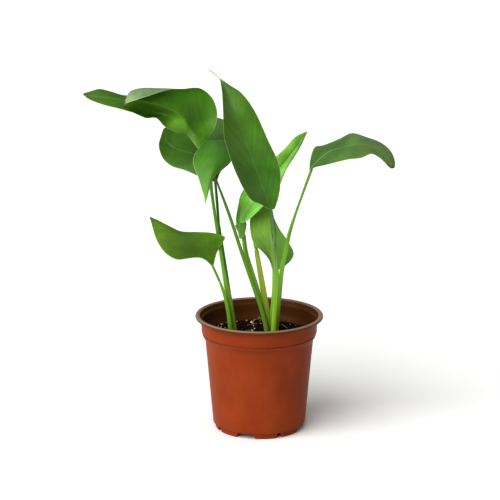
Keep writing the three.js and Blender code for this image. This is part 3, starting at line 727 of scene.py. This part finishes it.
def cut_drain_holes(bm):
    """Four round holes through the floor, one in each wide channel."""
    above_floor = (CHANNEL_RISE + SHEET + GAP) * MM
    for k in range(4):
        angle = math.radians(FIRST_WIDE_ANGLE + 90 * k)
        middle = Vector((math.cos(angle), math.sin(angle), 0)) * DRAIN_HOLE_AT * MM
        doomed = [
            f
            for f in bm.faces
            if (f.calc_center_median() - middle).xy.length < DRAIN_HOLE_RADIUS * MM
            and f.calc_center_median().z < above_floor
        ]
        bmesh.ops.delete(bm, geom=doomed, context="FACES")
        rim = [e for e in bm.edges if e.is_boundary]
        for v in {v for e in rim for v in e.verts}:
            flat = (v.co - middle).xy.normalized() * DRAIN_HOLE_RADIUS * MM
            v.co.x, v.co.y = middle.x + flat.x, middle.y + flat.y
        for face in bmesh.ops.bridge_loops(bm, edges=rim)["faces"]:
            face.material_index = 0


# ---- Soil -------------------------------------------------------------------------------

ROOT_SIDES = 7
ROOT_ROWS = 10  # between two points of a root


def soil_height(x, y):
    """The uneven surface of the peat, in millimetres above SOIL_TOP. Each line of noise has
    its own size, place in the noise and height."""
    place = Vector((x, y, 0))
    clumps = noise.noise(place / 16 + Vector((3.1, 0, 0))) * 2.6
    lumps = noise.noise(place / 6.5 + Vector((0, 7.7, 0))) * 1.7
    crumbs = noise.noise(place / 2.6 + Vector((0, 0, 5.5))) * 1.1
    fine = noise.noise(place / 1.2 + Vector((9, 0, 2))) * 0.4
    edge = smooth(0, 6, SOIL_RADIUS - math.hypot(x, y))
    return (clumps + lumps) * edge + (crumbs + fine) * (0.35 + 0.65 * edge)


def on_soil(x, y, lift=0.0):
    """The point on the soil's surface at a place, or a little above it."""
    return Vector((x, y, SOIL_TOP + soil_height(x, y) + lift))


def any_place(rng, margin):
    """A place on the soil, evenly spread and clear of the pot's wall."""
    radius = (SOIL_RADIUS - margin) * math.sqrt(rng.random())
    angle = 2 * math.pi * rng.random()
    return radius * math.cos(angle), radius * math.sin(angle)


def soil_bed(material):
    """The root ball: a square grid eased into a disc, with crumbs all over, then carried down
    along the pot's wall to the floor."""
    bm = bmesh.new()
    bmesh.ops.create_grid(bm, x_segments=SOIL_CELLS, y_segments=SOIL_CELLS, size=1)
    for v in bm.verts:
        x, y = v.co.x, v.co.y
        x, y = x * math.sqrt(1 - y * y / 2), y * math.sqrt(1 - x * x / 2)
        v.co = on_soil(x * SOIL_RADIUS, y * SOIL_RADIUS) * MM
    rim = [e for e in bm.edges if e.is_boundary]
    floor = CHANNEL_RISE + SHEET + GAP
    for radius, height in (
        (BODY_TOP_RADIUS - SHEET - GAP, INNER_TOP),
        (BODY_BASE_RADIUS - SHEET - GAP, floor + 1.1),
        (FOOT_RADIUS - SHEET - GAP, floor),
    ):
        made = bmesh.ops.extrude_edge_only(bm, edges=rim)["geom"]
        for v in [g for g in made if isinstance(g, bmesh.types.BMVert)]:
            flat = v.co.xy.normalized() * radius * MM
            v.co = (flat.x, flat.y, height * MM)
        rim = [g for g in made if isinstance(g, bmesh.types.BMEdge) and g.is_boundary]
    bmesh.ops.holes_fill(bm, edges=rim, sides=0)
    bmesh.ops.recalc_face_normals(bm, faces=bm.faces)
    return finish_piece("soil_bed", bm, [material], "soil", "soil")


def scatter(name, matter, seed, count, sizes, flatness, detail=1, spots=()):
    """Loose lumps that lie half sunk in the soil. sizes are the smallest and largest radius,
    flatness the height over the width, and spots are listed places, used before the rest."""
    rng = random.Random(seed)
    bm = bmesh.new()
    for i in range(count + len(spots)):
        x, y = spots[i] if i < len(spots) else any_place(rng, margin=3)
        size = sizes[0] + (sizes[1] - sizes[0]) * rng.random() ** 2
        made = bmesh.ops.create_icosphere(bm, subdivisions=detail, radius=1)["verts"]
        spin = Matrix.Rotation(6.3 * rng.random(), 3, "Z")
        tilt = Matrix.Rotation(1.2 * rng.random(), 3, "X")
        turn = spin @ tilt
        stretch = Vector((1, 0.6 + 0.4 * rng.random(), flatness * (0.7 + 0.6 * rng.random())))
        middle = on_soil(x, y, size * flatness * 0.35)
        shift = Vector((rng.random(), rng.random(), rng.random())) * 40
        for v in made:
            bump = 1 + 0.35 * noise.noise(v.co * 1.3 + shift)
            shaped = Vector(v.co[k] * stretch[k] for k in range(3)) * (size * bump)
            v.co = (middle + turn @ shaped) * MM
    return finish_piece(name, bm, [matter], "soil")


def fibre(bm, points, radius):
    """A thin round root along a smooth curve through the points, tapered to its end."""

    def place(turn, u):
        centre, slope = on_curve(points, u)
        along = slope.normalized()
        side = Vector((0, 0, 1)).cross(along).normalized()
        outward = along.cross(side)
        angle = 2 * math.pi * turn
        size = radius * (1 - 0.6 * u)
        point = centre + (side * math.cos(angle) + outward * math.sin(angle)) * size
        return (point * MM,)

    skin = wrapped_skin(ROOT_SIDES, ROOT_ROWS * (len(points) - 1), place)
    mesh = bpy.data.meshes.new("fibre")
    skin.to_mesh(mesh)
    skin.free()
    bm.from_mesh(mesh)
    bpy.data.meshes.remove(mesh)


def root_fibres(material):
    """Loose feeding roots that loop out of the soil: one given point by point and fourteen more."""
    rng = random.Random(5)
    bm = bmesh.new()
    shown = [(-8.6, 45, 1), (-5, 51, 4.5), (-1, 57, 3), (0, 60, 4), (3, 52, 2.5), (6, 41, 0.5)]
    fibre(bm, [on_soil(x, y, lift) for x, y, lift in shown], 0.5)
    for _ in range(14):
        x, y = any_place(rng, margin=12)
        heading = 2 * math.pi * rng.random()
        points = []
        for lift in (0.2, 1.0, 1.3, 0.9, -0.4):
            heading += rng.uniform(-0.8, 0.8)
            x += 3 * math.cos(heading)
            y += 3 * math.sin(heading)
            points.append(on_soil(x, y, lift))
        fibre(bm, points, rng.uniform(0.25, 0.45))
    return finish_piece("root_fibres", bm, [material], "soil")


# ---- Materials --------------------------------------------------------------------------

CUTICLE_IOR = 1.42
MIDRIB_ABOVE = "a2b878"
MIDRIB_BELOW = "b4a878"
MARGIN = "b4c888"
WAX_BLOOM = "5c7c48"
DRY_TIP = "6a4a2a"
YELLOWED = (1.5, 1, 1.08, 1)  # multiplies red, green, blue and alpha at a stalk's base
DRY_FADE = 3  # millimetres over which a dry tip turns green, along a ragged line

# Settings that several nodes share.
TINT = {"data_type": "RGBA"}
TIMES = {"data_type": "RGBA", "blend_type": "MULTIPLY"}
SOFT_ENDS = {"interpolation_type": "SMOOTHSTEP"}


def leaf_skin(name, look, skin, vein, midrib, shown, gloss, length):
    """Waxy leaf cuticle over parallel side veins: a satin green with fine light streaks that
    slant away from the midrib, cloudy patches of dull wax, a pale midrib and margin, painted
    light and shade that drifts from base to tip and from half to half, and sometimes a dry
    brown tip."""
    material, nodes = new_material(name)
    veins = add(nodes, "Attribute", {"attribute_name": "vein"}).outputs["Vector"]
    reach = add(nodes, "Attribute", {"attribute_name": "reach"}).outputs["Vector"]
    where = add(nodes, "TexCoord").outputs["Object"]
    split = add(nodes, "SeparateXYZ", vector=veins)
    ends = add(nodes, "SeparateXYZ", vector=reach)

    # Fine veins lie 1.2 mm apart, drawn at about 1.6 mm so that they show, in bands of 9 mm.
    streaks = add(nodes, "Mapping", vector=veins, scale=(25, 1 / (1.6 * MM), 0))
    fine = add(nodes, "TexNoise", vector=streaks.outputs["Vector"], scale=1, detail=1.5)
    bands = add(nodes, "Mapping", vector=veins, scale=(30, 1 / (9 * MM), 0))
    broad = add(nodes, "TexNoise", vector=bands.outputs["Vector"], scale=1, detail=2)
    light = add(
        nodes, "Math", {"operation": "MULTIPLY"},
        input_0=fine.outputs["Fac"], input_1=broad.outputs["Fac"],
    )
    show = add(
        nodes, "MapRange", SOFT_ENDS,
        value=light.outputs["Value"], from_min=0.14, from_max=0.5, to_max=0.5,
    )
    base = add(
        nodes, "Mix", TINT,
        input_0=show.outputs["Result"], input_6=colour(skin), input_7=colour(vein),
    )

    # A film of dull wax in patches, and a mottle of lighter and darker tissue.
    wax = add(nodes, "TexNoise", vector=where, scale=1 / (45 * MM), detail=4)
    film = add(
        nodes, "MapRange", value=wax.outputs["Fac"], from_min=0.48, from_max=0.68, to_max=0.35
    )
    bloomed = add(
        nodes, "Mix", TINT,
        input_0=film.outputs["Result"], input_6=base.outputs[2], input_7=colour(WAX_BLOOM),
    )
    mottle = add(nodes, "TexNoise", vector=where, scale=1 / (30 * MM), detail=3)
    shade = add(
        nodes, "MapRange",
        value=mottle.outputs["Fac"], from_min=0.35, from_max=0.65, to_min=0.84, to_max=1.14,
    )
    mottled = add(
        nodes, "Mix", TIMES,
        input_0=1.0, input_6=bloomed.outputs[2], input_7=shade.outputs["Result"],
    )

    # Painted light and shade: lighter or darker towards the blade's base and tip and in either
    # half, as the light fell on them.
    towards_base = add(
        nodes, "MapRange", SOFT_ENDS,
        value=ends.outputs["Z"], from_min=0.2 * length * MM, from_max=0.8 * length * MM,
    )
    tone = add(
        nodes, "Mix", TINT,
        input_0=towards_base.outputs["Result"], input_6=(*look["far"], 1), input_7=(*look["near"], 1),
    )
    side = add(nodes, "MapRange", SOFT_ENDS, value=ends.outputs["X"], from_min=-0.4, from_max=0.4)
    halves = add(
        nodes, "Mix", TINT,
        input_0=side.outputs["Result"], input_6=(*look["left"], 1), input_7=(*look["right"], 1),
    )
    painted_shade = add(nodes, "Mix", TIMES, input_0=1.0, input_6=tone.outputs[2], input_7=halves.outputs[2])
    toned = add(
        nodes, "Mix", TIMES, input_0=1.0, input_6=mottled.outputs[2], input_7=painted_shade.outputs[2]
    )

    # The midrib shows most in the lower part of the blade.
    aside = add(nodes, "Math", {"operation": "ABSOLUTE"}, input_0=split.outputs["X"])
    on_rib = add(
        nodes, "MapRange", SOFT_ENDS,
        value=aside.outputs["Value"], from_min=0.5 * MM, from_max=1.5 * MM, to_min=1, to_max=0,
    )
    low = add(
        nodes, "MapRange", value=ends.outputs["Z"],
        from_min=60 * MM, from_max=170 * MM, to_min=0.2 * shown, to_max=shown,
    )
    rib = add(
        nodes, "Math", {"operation": "MULTIPLY"},
        input_0=on_rib.outputs["Result"], input_1=low.outputs["Result"],
    )
    ribbed = add(
        nodes, "Mix", TINT,
        input_0=rib.outputs["Value"], input_6=toned.outputs[2], input_7=colour(midrib),
    )
    on_margin = add(
        nodes, "MapRange",
        value=ends.outputs["Y"], from_min=0.2 * MM, from_max=0.9 * MM, to_min=0.85, to_max=0,
    )
    result = add(
        nodes, "Mix", TINT,
        input_0=on_margin.outputs["Result"], input_6=ribbed.outputs[2], input_7=colour(MARGIN),
    ).outputs[2]
    brown = look["brown"]
    if brown:
        ragged = add(
            nodes, "Math", {"operation": "MULTIPLY_ADD"},
            input_0=mottle.outputs["Fac"], input_1=-DRY_FADE * MM, input_2=ends.outputs["Z"],
        )
        dry = add(
            nodes, "MapRange", value=ragged.outputs["Value"],
            from_min=(brown - DRY_FADE) * MM, from_max=brown * MM, to_min=1, to_max=0,
        )
        result = add(
            nodes, "Mix", TINT,
            input_0=dry.outputs["Result"], input_6=result, input_7=colour(DRY_TIP),
        ).outputs[2]

    relief = add(nodes, "Bump", height=fine.outputs["Fac"], strength=0.2, distance=0.12 * MM)
    surface = add(
        nodes, "BsdfPrincipled",
        base_color=result, roughness=gloss, ior=CUTICLE_IOR, specular_ior_level=0.45,
        normal=relief.outputs["Normal"],
    )
    glow = add(nodes, "BsdfTranslucent", color=result)
    both = add(
        nodes, "MixShader",
        input_0=0.22, input_1=surface.outputs["BSDF"], input_2=glow.outputs["BSDF"],
    )
    add(nodes, "OutputMaterial", surface=both.outputs["Shader"])
    return material


def stalk_skin(name, top, foot):
    """Smooth fibrous leaf stalk: satin, lighter towards the soil, yellowed where it stood in
    shade just above it, with faint lines along its length."""
    material, nodes = new_material(name)
    way = add(nodes, "Attribute", {"attribute_name": "vein"}).outputs["Vector"]
    split = add(nodes, "SeparateXYZ", vector=way)
    # 16 fibres round the stalk, each 125 mm long. Real ones are finer, too fine to show.
    fibres = add(nodes, "Mapping", vector=way, scale=(16, 8, 0))
    lines = add(nodes, "TexNoise", vector=fibres.outputs["Vector"], scale=1, detail=2)
    up = add(nodes, "MapRange", SOFT_ENDS, value=split.outputs["Z"], from_min=0.1, from_max=0.95)
    grade = add(
        nodes, "Mix", TINT, input_0=up.outputs["Result"], input_6=colour(foot), input_7=colour(top)
    )
    shaded = add(
        nodes, "MapRange", SOFT_ENDS,
        value=split.outputs["Z"], from_min=0.05, from_max=0.3, to_min=1, to_max=0,
    )
    yellowed = add(
        nodes, "Mix", TIMES,
        input_0=shaded.outputs["Result"], input_6=grade.outputs[2], input_7=YELLOWED,
    )
    shade = add(
        nodes, "MapRange",
        value=lines.outputs["Fac"], from_min=0.3, from_max=0.7, to_min=0.85, to_max=1.12,
    )
    lined = add(
        nodes, "Mix", TIMES,
        input_0=1.0, input_6=yellowed.outputs[2], input_7=shade.outputs["Result"],
    )
    relief = add(nodes, "Bump", height=lines.outputs["Fac"], strength=0.3, distance=0.2 * MM)
    surface = add(
        nodes, "BsdfPrincipled",
        base_color=lined.outputs[2], roughness=0.36, ior=CUTICLE_IOR, specular_ior_level=0.3,
        normal=relief.outputs["Normal"],
    )
    add(nodes, "OutputMaterial", surface=surface.outputs["BSDF"])
    return material


def moulded_polypropylene(name, body, worn, crest, rough):
    """Thin moulded polypropylene: satin, with a fine grain from the mould, soft cloudy wear,
    and a painted highlight on the crest of the lip, where it catches the light."""
    material, nodes = new_material(name)
    where = add(nodes, "TexCoord").outputs["Object"]
    cloud = add(nodes, "TexNoise", vector=where, scale=1 / (40 * MM), detail=4)
    wear = add(nodes, "MapRange", value=cloud.outputs["Fac"], from_min=0.4, from_max=0.75)
    base = add(
        nodes, "Mix", TINT,
        input_0=wear.outputs["Result"], input_6=colour(body), input_7=colour(worn),
    )
    # Painted highlight: the lip's crest is lighter, standing in for the light it catches.
    height = add(nodes, "SeparateXYZ", vector=where)
    on_crest = add(
        nodes, "MapRange", SOFT_ENDS, value=height.outputs["Z"],
        from_min=(POT_HEIGHT - 1.8) * MM, from_max=(POT_HEIGHT - 0.4) * MM,
    )
    painted_crest_highlight = add(
        nodes, "Mix", TINT,
        input_0=on_crest.outputs["Result"], input_6=base.outputs[2], input_7=colour(crest),
    )
    dull = add(
        nodes, "MapRange", value=cloud.outputs["Fac"],
        from_min=0.3, from_max=0.7, to_min=rough - 0.05, to_max=rough + 0.08,
    )
    # The mould's grain is about 0.3 mm, drawn at 0.8 mm so that it shows.
    grain = add(nodes, "TexNoise", vector=where, scale=1 / (0.8 * MM), detail=2)
    relief = add(nodes, "Bump", height=grain.outputs["Fac"], strength=0.25, distance=0.05 * MM)
    surface = add(
        nodes, "BsdfPrincipled",
        base_color=painted_crest_highlight.outputs[2], roughness=dull.outputs["Result"], ior=1.49,
        specular_ior_level=0.15, normal=relief.outputs["Normal"],
    )
    add(nodes, "OutputMaterial", surface=surface.outputs["BSDF"])
    return material


def crumbly(name, dark, light, rough, patch):
    """Loose, matte matter, such as moist peat, bark or perlite, with uneven colour. patch is
    the size of its patches in millimetres."""
    material, nodes = new_material(name)
    where = add(nodes, "TexCoord").outputs["Object"]
    patches = add(nodes, "TexNoise", vector=where, scale=1 / (patch * MM), detail=6)
    grade = add(nodes, "MapRange", value=patches.outputs["Fac"], from_min=0.38, from_max=0.68)
    base = add(
        nodes, "Mix", TINT,
        input_0=grade.outputs["Result"], input_6=colour(dark), input_7=colour(light),
    )
    relief = add(nodes, "Bump", height=patches.outputs["Fac"], strength=0.6, distance=0.4 * MM)
    surface = add(
        nodes, "BsdfPrincipled",
        base_color=base.outputs[2], roughness=rough, ior=1.4, specular_ior_level=0.2,
        normal=relief.outputs["Normal"],
    )
    add(nodes, "OutputMaterial", surface=surface.outputs["BSDF"])
    return material


# ---- Studio -----------------------------------------------------------------------------


def studio():
    """The camera, one large soft key light, an even white surround and a paper backdrop."""
    scene = bpy.context.scene
    scene.view_settings.view_transform = "Standard"
    scene.view_settings.gamma = PRINT_GAMMA
    camera = bpy.data.objects.new("camera", bpy.data.cameras.new("camera"))
    camera.location = CAMERA_PLACE
    camera.rotation_euler = (math.radians(90 + CAMERA_PITCH), 0, 0)
    camera.data.lens = CAMERA_LENS
    scene.collection.objects.link(camera)
    scene.camera = camera
    lamp = bpy.data.lights.new("key", "SUN")
    lamp.energy = KEY_STRENGTH
    lamp.angle = math.radians(KEY_SOFTNESS)
    key = bpy.data.objects.new("key", lamp)
    key.rotation_euler = (math.radians(90 - KEY_ELEVATION), 0, math.radians(KEY_AZIMUTH))
    scene.collection.objects.link(key)
    world = bpy.data.worlds.new("studio")
    world.use_nodes = True
    sky = world.node_tree.nodes["Background"]
    sky.inputs["Color"].default_value = colour("ffffff")
    sky.inputs["Strength"].default_value = WORLD_LIGHT
    scene.world = world
    bm = bmesh.new()
    bmesh.ops.create_grid(bm, x_segments=1, y_segments=1, size=FLOOR_SIZE / 2)
    mesh = bpy.data.meshes.new("floor")
    bm.to_mesh(mesh)
    bm.free()
    floor = bpy.data.objects.new("floor", mesh)
    scene.collection.objects.link(floor)
    # Matt white paper, which takes a soft shadow and gives no gloss.
    material, nodes = new_material("white paper backdrop")
    sheet = add(nodes, "BsdfDiffuse", color=colour("f6f6f5"))
    add(nodes, "OutputMaterial", surface=sheet.outputs["BSDF"])
    mesh.materials.append(material)


# ---- The plant --------------------------------------------------------------------------

studio()
pot(
    moulded_polypropylene("moulded terracotta polypropylene", "843c17", "90461f", "843c17", 0.42),
    # Its third colour is the painted highlight on the lip's crest.
    moulded_polypropylene("moulded brown polypropylene", "5c3614", "64401e", "927866", 0.38),
)
soil_bed(crumbly("moist peat", "120704", "2c140a", 0.95, 4))
scatter(
    "peat_crumbs", crumbly("peat crumbs", "120a05", "3e2a14", 0.95, 3),
    seed=3, count=420, sizes=(0.7, 2.6), flatness=0.7,
)
scatter(
    "bark_chips", crumbly("composted bark", "2a1a0c", "6a5030", 0.9, 3),
    seed=8, count=60, sizes=(1.8, 4.2), flatness=0.4,
)
scatter(
    "perlite_grains", crumbly("expanded perlite", "cfc6ae", "eee8d8", 0.9, 2),
    seed=12, count=26, sizes=(0.9, 2.0), flatness=0.85, detail=2,
    spots=[(-49, 30), (-45, 41), (-41, 33), (-46, 28), (-27, 56), (-15, 58)],
)
scatter(
    "vermiculite_flakes", crumbly("expanded vermiculite", "8a6a34", "dcc080", 0.7, 2),
    seed=21, count=8, sizes=(1.5, 2.6), flatness=0.5,
    spots=[(-50, 34), (-47, 44), (-43, 50), (-39, 45), (-44, 38), (-36, 53), (-52, 24)]
    + [(24, 55), (30, 50), (38, 46), (45, 38)],
)
root_fibres(crumbly("root fibre", "b09a74", "d6c6a0", 0.7, 4))
for name, leaf in LEAVES.items():
    look = USUAL_LOOK | LOOKS[name]
    middles = [Vector(rib[0]) for rib in leaf["ribs"]]
    length = sum((b - a).length for a, b in zip(middles, middles[1:]))
    upper = leaf_skin(
        f"{name} leaf, upper cuticle", look, look["skin"], look["vein"],
        midrib=MIDRIB_ABOVE, shown=look["rib"], gloss=0.4, length=length,
    )
    lower = leaf_skin(
        f"{name} leaf, underside", look, look["under"], look["pale"],
        midrib=MIDRIB_BELOW, shown=0.8, gloss=0.5, length=length,
    )
    blade(name, leaf["ribs"], look["groove"], [upper, lower])
    stalk(name, leaf, stalk_skin(f"{name} leaf stalk", look["top"], look["foot"]))
